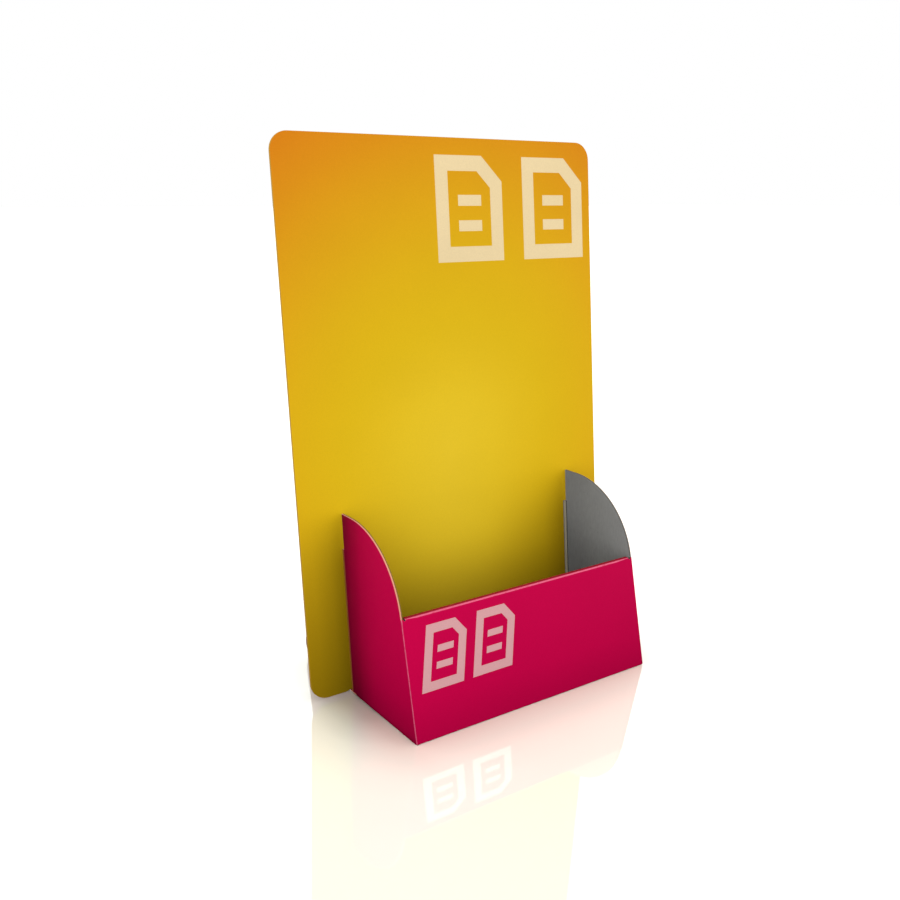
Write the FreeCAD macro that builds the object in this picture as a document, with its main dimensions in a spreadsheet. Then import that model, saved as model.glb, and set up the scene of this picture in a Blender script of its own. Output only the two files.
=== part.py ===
import FreeCAD, Part
import Sketcher
import os
from math import atan2, cos, pi, radians, sin, tan

# Counter-top leaflet stand in printed board: a leaning back panel and a folded leaflet pocket.
# The pocket's sides pass through two slots in the panel and stand behind it as feet.
# Millimetres, +Z up, the front faces -Y. The origin is on the ground at the middle of the footprint.

# Driving sizes: alias, value, note
SIZES = [
    ("board", 1.3, "thickness of both boards"),
    ("panel_width", 210.0, "back panel, left to right"),
    ("panel_height", 301.0, "back panel, along its slope"),
    ("corner_radius", 10.0, "rounded corners of the back panel"),
    ("lean_angle", 4.8, "degrees that the panel leans back"),
    ("panel_raise", 1.9, "front lower edge of the panel above the ground"),
    ("lap_height", 82.2, "crossing of the boards, along the panel from its lower edge"),
    ("lead_width", 4.0, "lead-in at each mouth of the panel's slots, sideways"),
    ("lead_rise", 1.0, "lead-in at each mouth of the panel's slots, upwards"),
    ("slot_outer_play", 0.3, "panel slot beyond the outer face of the pocket's side"),
    ("slot_inner_play", 0.5, "panel slot beyond the inner face of the pocket's side"),
    ("panel_setback", 66.8, "front fold at the ground to the panel's face at its lower edge"),
    ("foot_reach", 58.0, "the panel's face at its lower edge to the rear end of the feet"),
    ("pocket_width", 159.6, "over the outer faces of the pocket's sides"),
    ("front_height", 63.6, "front wall of the pocket"),
    ("wall_lean", 12.25, "degrees that the front wall and the feet's rear edges lean"),
    ("hem_width", 3.6, "flat strip where the front wall turns over into its lining"),
    ("hem_inset", 2.5, "ends of the turned-over strip short of the outer faces"),
    ("ear_rise", 40.2, "the pocket's sides in front of the panel, above the front wall"),
    ("ear_radius", 50.5, "curved upper front edge of the sides"),
    ("ear_setback", 0.55, "front edge of the ear behind the printed face of the front wall, square to its slope"),
    ("ear_gap", 1.6, "rear edge of the ear to the panel's face"),
    ("fin_play", 0.2, "panel's back to the fin behind it"),
    ("fin_top", 96.0, "top of the sides behind the panel"),
    ("fin_shoulder", 62.0, "where the feet's straight rear edges turn into the curve up to that top"),
    ("foot_radius", 9.0, "rounded lower rear corner of the sides"),
    ("floor_beyond", 1.0, "floor flap beyond the panel's back"),
    ("tab_length", 6.8, "tab at each end of the floor flap, front to back"),
    ("tab_play", 0.3, "play of the tab in its notch"),
    ("fold_radius", 0.5, "outside radius of the folds"),
]

doc = FreeCAD.newDocument("leaflet_stand")
sheet = doc.addObject("Spreadsheet::Sheet", "Sizes")
for row, (alias, value, note) in enumerate(SIZES, start=1):
    sheet.set(f"A{row}", alias)
    sheet.set(f"B{row}", str(value))
    sheet.setAlias(f"B{row}", alias)
    sheet.set(f"C{row}", note)
doc.recompute()


def size(alias):
    return float(sheet.get(alias))


# Formulas that more than one sketch uses, in the sheet's own terms
LEAN = "Sizes.lean_angle * 1deg"
WALL_LEAN = "Sizes.wall_lean * 1deg"
FRONT_EDGE = "(Sizes.panel_setback + Sizes.foot_reach) / 2"
WALL_ACROSS = f"Sizes.board / cos({WALL_LEAN})"
PANEL_FACE = "(Sizes.panel_setback - Sizes.foot_reach) / 2"
FLOOR_END = f"({PANEL_FACE} + Sizes.board / cos({LEAN}) + Sizes.floor_beyond)"

# The same places as numbers, from which the sketches start
board = size("board")
lean = radians(size("lean_angle"))
wall_lean = radians(size("wall_lean"))
rear_y = (size("panel_setback") + size("foot_reach")) / 2
front_y = -rear_y
panel_y = front_y + size("panel_setback")
wall_across = board / cos(wall_lean)
floor_end_y = panel_y + board / cos(lean) + size("floor_beyond")


def point(across, up):
    return FreeCAD.Vector(across, up, 0)


def sketch_on(body, role, label):
    """A sketch on one of the body's own origin planes."""
    sketch = body.newObject("Sketcher::SketchObject", label)
    plane = next(feature for feature in body.Origin.OriginFeatures if feature.Role == role)
    sketch.AttachmentSupport = [(plane, "")]
    sketch.MapMode = "FlatFace"
    return sketch


def closed_outline(sketch, points):
    """Straight lines through the points and back to the first, joined at their ends."""
    count = len(points)
    for index in range(count):
        sketch.addGeometry(Part.LineSegment(points[index], points[(index + 1) % count]))
    for index in range(count):
        sketch.addConstraint(Sketcher.Constraint("Coincident", index, 2, (index + 1) % count, 1))


def dimension(sketch, name, formula, *constraint):
    """A named dimension whose value follows a formula in the sheet's terms."""
    index = sketch.addConstraint(Sketcher.Constraint(*constraint))
    sketch.renameConstraint(index, name)
    sketch.setExpression(f"Constraints.{name}", formula)


def finish_sketch(sketch):
    doc.recompute()
    if not sketch.FullyConstrained:
        raise RuntimeError(f"{sketch.Label} isn't fully constrained")


def pad(body, sketch, label, length, midplane=False, reverse=False):
    feature = body.newObject("PartDesign::Pad", label)
    feature.Profile = sketch
    feature.Midplane = midplane
    feature.Reversed = reverse
    feature.setExpression("Length", length)
    doc.recompute()
    return feature


def cut(body, sketch, label, length):
    """A cut to both sides of its sketch; the volume shows that it took something away."""
    before = body.Shape.Volume
    feature = body.newObject("PartDesign::Pocket", label)
    feature.Profile = sketch
    feature.Midplane = True
    feature.setExpression("Length", length)
    doc.recompute()
    if body.Shape.Volume >= before:
        raise RuntimeError(f"{label} cuts nothing")
    return feature


def mirror_left_right(body, originals, label):
    feature = body.newObject("PartDesign::Mirrored", label)
    plane = next(item for item in body.Origin.OriginFeatures if item.Role == "YZ_Plane")
    feature.Originals = originals
    feature.MirrorPlane = (plane, [""])
    body.Tip = feature
    doc.recompute()
    return feature


def round_edges(body, base, label, is_wanted, radius):
    """Rounds the base's straight edges that the test picks."""
    names = [f"Edge{number}" for number, edge in enumerate(base.Shape.Edges, start=1) if is_wanted(edge)]
    feature = body.newObject("PartDesign::Fillet", label)
    feature.Base = (base, names)
    feature.setExpression("Radius", radius)
    doc.recompute()
    return feature


def near(value, target):
    return abs(value - target) < 0.01


# Back panel: one flat board, cut out with two slots that are open at its lower edge
def panel_outline(body):
    half, height = size("panel_width") / 2, size("panel_height")
    sketch = sketch_on(body, "XZ_Plane", "panel_outline")
    closed_outline(sketch, [point(-half, 0), point(half, 0), point(half, height), point(-half, height)])
    for line, direction in enumerate(["Horizontal", "Vertical", "Horizontal", "Vertical"]):
        sketch.addConstraint(Sketcher.Constraint(direction, line))
    sketch.addConstraint(Sketcher.Constraint("PointOnObject", 0, 1, -1))
    dimension(sketch, "half_width", "Sizes.panel_width / 2", "DistanceX", -1, 1, 1, 1, half)
    dimension(sketch, "width", "Sizes.panel_width", "DistanceX", 0, 1, 0, 2, 2 * half)
    dimension(sketch, "height", "Sizes.panel_height", "DistanceY", 1, 1, 1, 2, height)
    finish_sketch(sketch)
    return sketch


def slot_outline(body):
    """The right-hand slot, with a sloping lead-in on each side of its mouth."""
    outer = size("pocket_width") / 2 + size("slot_outer_play")
    inner = size("pocket_width") / 2 - board - size("slot_inner_play")
    rise, spread, top = size("lead_rise"), size("lead_width"), size("lap_height")
    sketch = sketch_on(body, "XZ_Plane", "slot_outline")
    closed_outline(sketch, [
        point(inner - spread, 0), point(outer + spread, 0), point(outer, rise),
        point(outer, top), point(inner, top), point(inner, rise),
    ])
    for line, direction in [(0, "Horizontal"), (2, "Vertical"), (3, "Horizontal"), (4, "Vertical")]:
        sketch.addConstraint(Sketcher.Constraint(direction, line))
    sketch.addConstraint(Sketcher.Constraint("PointOnObject", 0, 1, -1))
    outer_formula = "Sizes.pocket_width / 2 + Sizes.slot_outer_play"
    width_formula = "Sizes.slot_outer_play + Sizes.board + Sizes.slot_inner_play"
    dimension(sketch, "outer_edge", outer_formula, "DistanceX", -1, 1, 2, 1, outer)
    dimension(sketch, "slot_width", width_formula, "DistanceX", 3, 2, 3, 1, outer - inner)
    dimension(sketch, "slot_top", "Sizes.lap_height", "DistanceY", -1, 1, 3, 1, top)
    dimension(sketch, "outer_rise", "Sizes.lead_rise", "DistanceY", -1, 1, 2, 1, rise)
    dimension(sketch, "inner_rise", "Sizes.lead_rise", "DistanceY", -1, 1, 5, 1, rise)
    dimension(sketch, "outer_spread", "Sizes.lead_width", "DistanceX", 2, 1, 0, 2, spread)
    dimension(sketch, "inner_spread", "Sizes.lead_width", "DistanceX", 0, 1, 5, 1, spread)
    finish_sketch(sketch)
    return sketch


def back_panel():
    body = doc.addObject("PartDesign::Body", "BackPanel")
    body.Label = "back_panel"
    # The sketch plane is the panel's face, and the board lies behind it
    plain = pad(body, panel_outline(body), "panel_board", "Sizes.board", reverse=True)
    half, height = size("panel_width") / 2, size("panel_height")

    def is_corner(edge):
        middle = edge.CenterOfMass
        return near(abs(middle.x), half) and (near(middle.z, 0) or near(middle.z, height)) and near(middle.y, board / 2)

    round_edges(body, plain, "panel_corners", is_corner, "Sizes.corner_radius")
    slot = cut(body, slot_outline(body), "panel_slot", "Sizes.board * 4")
    mirror_left_right(body, [slot], "panel_slots")
    body.Placement = FreeCAD.Placement(FreeCAD.Vector(), FreeCAD.Rotation(FreeCAD.Vector(-1, 0, 0), 1))
    body.setExpression("Placement.Base.y", PANEL_FACE)
    body.setExpression("Placement.Base.z", "Sizes.panel_raise")
    body.setExpression("Placement.Rotation.Angle", LEAN)
    doc.recompute()
    return body


# Pocket: one sheet, folded into a front wall with a turned-over lining, a floor flap and two sides
def front_wall_outline(body):
    height = size("front_height")
    shift = height * tan(wall_lean)
    sketch = sketch_on(body, "YZ_Plane", "front_wall_outline")
    closed_outline(sketch, [
        point(front_y, 0), point(front_y + wall_across, 0),
        point(front_y + wall_across + shift, height), point(front_y + shift, height),
    ])
    sketch.addConstraint(Sketcher.Constraint("Horizontal", 0))
    sketch.addConstraint(Sketcher.Constraint("Horizontal", 2))
    sketch.addConstraint(Sketcher.Constraint("Parallel", 1, 3))
    sketch.addConstraint(Sketcher.Constraint("PointOnObject", 0, 1, -1))
    dimension(sketch, "front_edge", FRONT_EDGE, "DistanceX", 0, 1, -1, 1, -front_y)
    dimension(sketch, "thickness_across", WALL_ACROSS, "DistanceX", 0, 1, 0, 2, wall_across)
    dimension(sketch, "wall_height", "Sizes.front_height", "DistanceY", 1, 1, 1, 2, height)
    dimension(sketch, "wall_angle", f"90deg - {WALL_LEAN}", "Angle", 1, pi / 2 - wall_lean)
    finish_sketch(sketch)
    return sketch


def side_outline(body):
    """One side: leaning front edge, curved ear, slot for the panel, rounded fin and foot."""
    front_height, ear_radius = size("front_height"), size("ear_radius")
    ear_top = front_height + size("ear_rise")
    fin_top, fin_shoulder, foot_radius = size("fin_top"), size("fin_shoulder"), size("foot_radius")
    slope = tan(wall_lean)
    # The ear's curve touches a line close behind the face of the front wall, and starts where it touches it
    setback = size("ear_setback")
    ear_z = ear_top - ear_radius
    ear_y = front_y + (ear_radius + setback + ear_z * sin(wall_lean)) / cos(wall_lean)
    ear_start = point(ear_y - ear_radius * cos(wall_lean), ear_z + ear_radius * sin(wall_lean))
    # The slot follows the panel, with its floor across the panel's slope
    up, back = point(sin(lean), cos(lean)), point(cos(lean), -sin(lean))
    crossing = point(panel_y, size("panel_raise")) + up * size("lap_height")
    slot_front = crossing - back * size("ear_gap")
    slot_back = crossing + back * (board + size("fin_play"))
    ear_rear = slot_front + up * ((ear_top - slot_front.y) / cos(lean))
    fin_front = slot_back + up * ((fin_top - slot_back.y) / cos(lean))
    # The foot's rear edge leans forward as the front wall leans back, and its curve touches that edge
    foot_y = rear_y - foot_radius
    foot_end = point(foot_y + foot_radius * cos(wall_lean), foot_radius * (1 + sin(wall_lean)))
    fin_end = point(foot_end.x - (fin_shoulder - foot_end.y) * slope, fin_shoulder)
    chord = fin_front - fin_end
    inward = point(-cos(wall_lean), -sin(wall_lean))
    fin_radius = chord.Length ** 2 / (2 * chord.dot(inward))
    fin_centre = fin_end + inward * fin_radius
    to_fin_front = fin_front - fin_centre
    fin_last = atan2(to_fin_front.y, to_fin_front.x)

    def arc(centre, radius, first, last):
        circle = Part.Circle(centre, FreeCAD.Vector(0, 0, 1), radius)
        return Part.ArcOfCircle(circle, first, last)

    front_low = point(front_y, 0)
    front_high = point(front_y + front_height * slope, front_height)
    shoulder = front_high + point(setback / cos(wall_lean), 0)
    foot_low = point(foot_y, 0)
    sketch = sketch_on(body, "YZ_Plane", "side_outline")
    pieces = {
        "front": Part.LineSegment(front_low, front_high),
        "shoulder": Part.LineSegment(front_high, shoulder),
        "neck": Part.LineSegment(shoulder, ear_start),
        "ear": arc(point(ear_y, ear_z), ear_radius, pi / 2, pi - wall_lean),
        "ear_top": Part.LineSegment(point(ear_y, ear_top), ear_rear),
        "ear_rear": Part.LineSegment(ear_rear, slot_front),
        "slot_floor": Part.LineSegment(slot_front, slot_back),
        "fin_front": Part.LineSegment(slot_back, fin_front),
        "fin": arc(fin_centre, fin_radius, wall_lean, fin_last),
        "rear": Part.LineSegment(fin_end, foot_end),
        "foot": arc(point(foot_y, foot_radius), foot_radius, -pi / 2, wall_lean),
        "ground": Part.LineSegment(foot_low, front_low),
    }
    line = {name: sketch.addGeometry(geometry) for name, geometry in pieces.items()}

    corners = [("front", "shoulder"), ("shoulder", "neck"), ("ear_top", "ear_rear"), ("ear_rear", "slot_floor"),
               ("slot_floor", "fin_front"), ("ground", "front")]
    for first, second in corners:
        sketch.addConstraint(Sketcher.Constraint("Coincident", line[first], 2, line[second], 1))
    sketch.addConstraint(Sketcher.Constraint("Coincident", line["fin_front"], 2, line["fin"], 2))
    smooth_joins = [("neck", 2, "ear", 2), ("ear", 1, "ear_top", 1), ("fin", 1, "rear", 1),
                    ("rear", 2, "foot", 2), ("foot", 1, "ground", 1)]
    for first, first_end, second, second_end in smooth_joins:
        sketch.addConstraint(Sketcher.Constraint("Tangent", line[first], first_end, line[second], second_end))
    for name in ["shoulder", "ear_top", "ground"]:
        sketch.addConstraint(Sketcher.Constraint("Horizontal", line[name]))
    sketch.addConstraint(Sketcher.Constraint("Parallel", line["front"], line["neck"]))
    sketch.addConstraint(Sketcher.Constraint("Parallel", line["ear_rear"], line["fin_front"]))
    sketch.addConstraint(Sketcher.Constraint("Perpendicular", line["slot_floor"], line["fin_front"]))
    sketch.addConstraint(Sketcher.Constraint("PointOnObject", line["front"], 1, -1))

    crossing_across = f"{PANEL_FACE} + Sizes.lap_height * sin({LEAN}) - Sizes.ear_gap * cos({LEAN})"
    crossing_up = f"Sizes.panel_raise + Sizes.lap_height * cos({LEAN}) + Sizes.ear_gap * sin({LEAN})"
    slot_width = "Sizes.ear_gap + Sizes.board + Sizes.fin_play"
    foot_centre = f"{FRONT_EDGE} - Sizes.foot_radius"
    dimension(sketch, "front_edge", FRONT_EDGE, "DistanceX", line["front"], 1, -1, 1, -front_y)
    dimension(sketch, "front_angle", f"90deg - {WALL_LEAN}", "Angle", line["front"], pi / 2 - wall_lean)
    dimension(sketch, "front_height", "Sizes.front_height", "DistanceY", -1, 1, line["front"], 2, front_height)
    dimension(sketch, "shoulder_width", f"Sizes.ear_setback / cos({WALL_LEAN})", "DistanceX", line["shoulder"], 1,
              line["shoulder"], 2, setback / cos(wall_lean))
    dimension(sketch, "ear_radius", "Sizes.ear_radius", "Radius", line["ear"], ear_radius)
    dimension(sketch, "ear_height", "Sizes.front_height + Sizes.ear_rise", "DistanceY", -1, 1, line["ear_top"], 1,
              ear_top)
    dimension(sketch, "slot_across", crossing_across, "DistanceX", -1, 1, line["slot_floor"], 1, slot_front.x)
    dimension(sketch, "slot_up", crossing_up, "DistanceY", -1, 1, line["slot_floor"], 1, slot_front.y)
    dimension(sketch, "slot_width", slot_width, "Distance", line["slot_floor"], (slot_back - slot_front).Length)
    dimension(sketch, "slot_angle", f"90deg - {LEAN}", "Angle", line["fin_front"], pi / 2 - lean)
    dimension(sketch, "fin_height", "Sizes.fin_top", "DistanceY", -1, 1, line["fin_front"], 2, fin_top)
    dimension(sketch, "shoulder_height", "Sizes.fin_shoulder", "DistanceY", -1, 1, line["rear"], 1, fin_shoulder)
    dimension(sketch, "rear_angle", f"{WALL_LEAN} - 90deg", "Angle", line["rear"], wall_lean - pi / 2)
    dimension(sketch, "foot_radius", "Sizes.foot_radius", "Radius", line["foot"], foot_radius)
    dimension(sketch, "foot_centre", foot_centre, "DistanceX", -1, 1, line["foot"], 3, foot_y)
    # The sheet lies in the plane of the outer face of the right-hand side
    sketch.setExpression("AttachmentOffset.Base.z", "Sizes.pocket_width / 2")
    finish_sketch(sketch)
    return sketch


def block_outline(body, label, low, high, top, low_formula, high_formula, top_formula):
    """A rectangle that stands on the ground, from one place to another along Y."""
    sketch = sketch_on(body, "YZ_Plane", label)
    closed_outline(sketch, [point(low, 0), point(high, 0), point(high, top), point(low, top)])
    for line, direction in enumerate(["Horizontal", "Vertical", "Horizontal", "Vertical"]):
        sketch.addConstraint(Sketcher.Constraint(direction, line))
    sketch.addConstraint(Sketcher.Constraint("PointOnObject", 0, 1, -1))
    dimension(sketch, "rear_end", high_formula, "DistanceX", -1, 1, 0, 2, high)
    dimension(sketch, "length", f"{high_formula} - ({low_formula})", "DistanceX", 0, 1, 0, 2, high - low)
    dimension(sketch, "height", top_formula, "DistanceY", 1, 1, 1, 2, top)
    return sketch


def notch_outline(body):
    """The notch for the floor flap's tab, in the lower edge of the side."""
    play, tab_start = size("tab_play"), floor_end_y - size("tab_length")
    sketch = block_outline(
        body, "notch_outline", tab_start - play, floor_end_y + play, board + play,
        f"{FLOOR_END} - Sizes.tab_length - Sizes.tab_play", f"{FLOOR_END} + Sizes.tab_play",
        "Sizes.board + Sizes.tab_play")
    sketch.setExpression("AttachmentOffset.Base.z", "Sizes.pocket_width / 2")
    finish_sketch(sketch)
    return sketch


def tab_outline(body):
    sketch = block_outline(
        body, "tab_outline", floor_end_y - size("tab_length"), floor_end_y, board,
        f"{FLOOR_END} - Sizes.tab_length", FLOOR_END, "Sizes.board")
    finish_sketch(sketch)
    return sketch


def lining_outline(body):
    """The sheet from the top of the front wall: over, down as a lining, and back as the floor."""
    top, hem, slope = size("front_height"), size("hem_width"), tan(wall_lean)
    lining_front = front_y + hem - wall_across
    sketch = sketch_on(body, "YZ_Plane", "lining_outline")
    closed_outline(sketch, [
        point(front_y + top * slope, top),
        point(front_y + top * slope + hem, top),
        point(front_y + hem + board * slope, board),
        point(floor_end_y, board),
        point(floor_end_y, 0),
        point(lining_front, 0),
        point(lining_front + (top - board) * slope, top - board),
        point(front_y + (top - board) * slope, top - board),
    ])
    for line, direction in [(0, "Horizontal"), (2, "Horizontal"), (3, "Vertical"), (4, "Horizontal"),
                            (6, "Horizontal")]:
        sketch.addConstraint(Sketcher.Constraint(direction, line))
    for line in [5, 7]:
        sketch.addConstraint(Sketcher.Constraint("Parallel", 1, line))
    sketch.addConstraint(Sketcher.Constraint("PointOnObject", 3, 2, -1))
    lining_front_formula = f"{FRONT_EDGE} - Sizes.hem_width + {WALL_ACROSS}"
    hem_start = f"{FRONT_EDGE} - Sizes.front_height * tan({WALL_LEAN})"
    dimension(sketch, "wall_angle", f"-90deg - {WALL_LEAN}", "Angle", 1, -pi / 2 - wall_lean)
    dimension(sketch, "hem_start", hem_start, "DistanceX", 0, 1, -1, 1, -front_y - top * slope)
    dimension(sketch, "hem_width", "Sizes.hem_width", "DistanceX", 0, 1, 0, 2, hem)
    dimension(sketch, "hem_top", "Sizes.front_height", "DistanceY", -1, 1, 0, 1, top)
    dimension(sketch, "hem_thickness", "Sizes.board", "DistanceY", 6, 2, 0, 1, board)
    dimension(sketch, "floor_thickness", "Sizes.board", "DistanceY", 3, 2, 3, 1, board)
    dimension(sketch, "floor_end", FLOOR_END, "DistanceX", -1, 1, 3, 2, floor_end_y)
    dimension(sketch, "lining_foot", lining_front_formula, "DistanceX", 4, 2, -1, 1, -lining_front)
    finish_sketch(sketch)
    return sketch


def is_fold(edge):
    """The outside edges where the front wall turns into the sides."""
    middle = edge.CenterOfMass
    low, high = edge.BoundBox.ZMin, edge.BoundBox.ZMax
    on_front = near(middle.y, front_y + middle.z * tan(wall_lean))
    return near(abs(middle.x), size("pocket_width") / 2) and on_front and high - low > size("front_height") / 2


def is_hem_crease(edge):
    """The two long edges of the strip on top of the front wall, and the fold into the floor."""
    middle = edge.CenterOfMass
    is_long = edge.BoundBox.XLength > size("pocket_width") / 2
    is_hem = near(middle.z, size("front_height"))
    is_floor = near(middle.z, 0) and near(middle.y, front_y + size("hem_width") - wall_across)
    return is_long and (is_hem or is_floor)


def pocket():
    body = doc.addObject("PartDesign::Body", "Pocket")
    body.Label = "pocket"
    pad(body, front_wall_outline(body), "front_wall", "Sizes.pocket_width", midplane=True)
    side = pad(body, side_outline(body), "side_board", "Sizes.board", reverse=True)
    notch = cut(body, notch_outline(body), "tab_notch", "Sizes.board * 4")
    mirror_left_right(body, [side, notch], "both_sides")
    pad(body, lining_outline(body), "lining_and_floor", "Sizes.pocket_width - 2 * Sizes.hem_inset", midplane=True)
    tabs = pad(body, tab_outline(body), "floor_tabs", "Sizes.pocket_width", midplane=True)
    folds = round_edges(body, tabs, "side_folds", is_fold, "Sizes.fold_radius")
    round_edges(body, folds, "hem_creases", is_hem_crease, "Sizes.fold_radius * 2 / 3")
    return body


def check_and_write(bodies):
    doc.recompute()
    for item in doc.Objects:
        if "Invalid" in item.State or "Error" in item.State:
            raise RuntimeError(f"{item.Label} failed: {item.State}")
    for body in bodies:
        shape = body.Shape
        if shape.isNull() or not shape.isValid() or len(shape.Solids) != 1:
            raise RuntimeError(f"{body.Label} isn't one valid solid")
    os.makedirs("parts", exist_ok=True)
    for body in bodies:
        body.Shape.exportStep(f"parts/{body.Label}.step")
        box = body.Shape.BoundBox
        print(f"{body.Label}: {box.XLength:.1f} x {box.YLength:.1f} x {box.ZLength:.1f} mm,",
              f"Y {box.YMin:.2f} to {box.YMax:.2f}, Z {box.ZMin:.2f} to {box.ZMax:.2f},",
              f"{body.Shape.Volume / 1000:.1f} cm3")


check_and_write([back_panel(), pocket()])
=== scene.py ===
from math import atan2, copysign, cos, degrees, radians, sin, tan

import bmesh
import bpy
from mathutils import Matrix, Vector


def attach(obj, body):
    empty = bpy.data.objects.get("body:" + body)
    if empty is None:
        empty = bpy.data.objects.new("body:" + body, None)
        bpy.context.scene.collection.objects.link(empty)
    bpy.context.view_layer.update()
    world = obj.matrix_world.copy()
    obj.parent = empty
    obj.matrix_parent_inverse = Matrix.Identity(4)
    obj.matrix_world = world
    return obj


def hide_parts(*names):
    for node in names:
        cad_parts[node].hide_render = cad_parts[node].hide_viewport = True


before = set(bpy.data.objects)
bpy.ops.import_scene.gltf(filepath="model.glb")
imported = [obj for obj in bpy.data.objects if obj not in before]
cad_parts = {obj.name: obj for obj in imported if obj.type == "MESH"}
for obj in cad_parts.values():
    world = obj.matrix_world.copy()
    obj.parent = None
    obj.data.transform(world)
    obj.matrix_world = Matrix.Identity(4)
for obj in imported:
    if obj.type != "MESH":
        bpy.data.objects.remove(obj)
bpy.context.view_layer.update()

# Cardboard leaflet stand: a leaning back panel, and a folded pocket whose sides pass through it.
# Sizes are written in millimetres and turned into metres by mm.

mm = 0.001
touching = 1e-6              # metres; points closer than this are one
print("frame loaded")

cameraView = {
    "place": (-314.5, -437.0, 268.25),
    "tilt": 14.36,           # degrees below the horizon
    "turn": -34.27,
    "lens": 38.95,
    "sensor": 36,
    "near": 10,
}

camera = bpy.data.objects.new("camera", bpy.data.cameras.new("camera"))
bpy.context.scene.collection.objects.link(camera)
camera.location = Vector(cameraView["place"]) * mm
camera.rotation_euler = (radians(90 - cameraView["tilt"]), 0, radians(cameraView["turn"]))
camera.data.lens = cameraView["lens"]
camera.data.sensor_width = cameraView["sensor"]
camera.data.clip_start = cameraView["near"] * mm
bpy.context.scene.camera = camera
print("camera set")


# Shader helpers

noiseSpan = (0.3, 0.7)       # nearly all of a noise pattern's values lie between these
plainWhite = (1, 1, 1, 1)


def screenColour(red, green, blue):    # a colour as a screen shows it, made linear for the shaders
    def linear(value):
        value /= 255
        return value / 12.92 if value <= 0.04045 else ((value + 0.055) / 1.055) ** 2.4
    return (linear(red), linear(green), linear(blue), 1)


def newFinish(name):
    finish = bpy.data.materials.new(name)
    finish.use_nodes = True
    tree = finish.node_tree
    place = tree.nodes.new("ShaderNodeTexCoord").outputs["Object"]
    return finish, tree, tree.nodes["Principled BSDF"], place


def stretchPlace(tree, place, scale, centre=(0, 0, 0)):    # a pattern's own coordinates about a centre
    mapping = tree.nodes.new("ShaderNodeMapping")
    mapping.inputs["Scale"].default_value = scale
    mapping.inputs["Location"].default_value = [-c * s for c, s in zip(centre, scale)]
    tree.links.new(place, mapping.inputs["Vector"])
    return mapping.outputs["Vector"]


def splitPlace(tree, place):
    split = tree.nodes.new("ShaderNodeSeparateXYZ")
    tree.links.new(place, split.inputs["Vector"])
    return split.outputs


def addNoise(tree, place, scale, detail=3, roughness=0.55):
    noise = tree.nodes.new("ShaderNodeTexNoise")
    noise.inputs["Scale"].default_value = scale
    noise.inputs["Detail"].default_value = detail
    noise.inputs["Roughness"].default_value = roughness
    tree.links.new(place, noise.inputs["Vector"])
    return noise.outputs["Fac"]


def remap(tree, value, fromLow, fromHigh, toLow, toHigh, smooth=False):
    node = tree.nodes.new("ShaderNodeMapRange")
    node.interpolation_type = "SMOOTHSTEP" if smooth else "LINEAR"
    limits = {"From Min": fromLow, "From Max": fromHigh, "To Min": toLow, "To Max": toHigh}
    for socket, number in limits.items():
        node.inputs[socket].default_value = number
    tree.links.new(value, node.inputs["Value"])
    return node.outputs["Result"]


def vary(tree, noise, low, high):    # spreads a noise pattern between two values
    return remap(tree, noise, *noiseSpan, low, high)


def joinValues(tree, operation, first, second=None):
    node = tree.nodes.new("ShaderNodeMath")
    node.operation = operation
    for socket, value in zip(node.inputs, [first, second]):
        if isinstance(value, (int, float)):
            socket.default_value = value
        elif value is not None:
            tree.links.new(value, socket)
    return node.outputs["Value"]


def rampAlong(tree, value, stops):    # a factor that follows stops of (millimetres, factor)
    factor = None
    for (low, first), (high, last) in zip(stops, stops[1:]):
        step = remap(tree, value, low * mm, high * mm, first / last, 1)
        factor = step if factor is None else joinValues(tree, "MULTIPLY", factor, step)
    return joinValues(tree, "MULTIPLY", factor, stops[-1][1])


def reachAlong(tree, value, reach, toLow=0, toHigh=1, smooth=False):
    start, stop = reach      # in millimetres
    return remap(tree, value, start * mm, stop * mm, toLow, toHigh, smooth)


def mixColour(tree, factor, first, second, blend="MIX"):
    node = tree.nodes.new("ShaderNodeMix")
    node.data_type = "RGBA"
    node.blend_type = blend
    if isinstance(factor, (int, float)):
        node.inputs[0].default_value = factor
    else:
        tree.links.new(factor, node.inputs[0])
    for socket, colour in ((node.inputs[6], first), (node.inputs[7], second)):
        if isinstance(colour, tuple):
            socket.default_value = colour
        else:
            tree.links.new(colour, socket)
    return node.outputs[2]


def shadeBy(tree, colour, value):    # multiplies a colour by a grey value
    grey = tree.nodes.new("ShaderNodeCombineColor")
    for channel in grey.inputs:
        tree.links.new(value, channel)
    return mixColour(tree, 1.0, colour, grey.outputs["Color"], "MULTIPLY")


def linkColour(tree, shader, colour, bounce):    # light that the boards throw on each other is kept low
    shaded = mixColour(tree, 1.0, colour, (bounce, bounce, bounce, 1), "MULTIPLY")
    light = tree.nodes.new("ShaderNodeLightPath")
    shown = mixColour(tree, light.outputs["Is Diffuse Ray"], colour, shaded)
    tree.links.new(shown, shader.inputs["Base Color"])


def addBump(tree, shader, height, depth, strength):    # depth in millimetres
    bump = tree.nodes.new("ShaderNodeBump")
    bump.inputs["Strength"].default_value = strength
    bump.inputs["Distance"].default_value = depth * mm
    tree.links.new(height, bump.inputs["Height"])
    tree.links.new(bump.outputs["Normal"], shader.inputs["Normal"])


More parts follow.
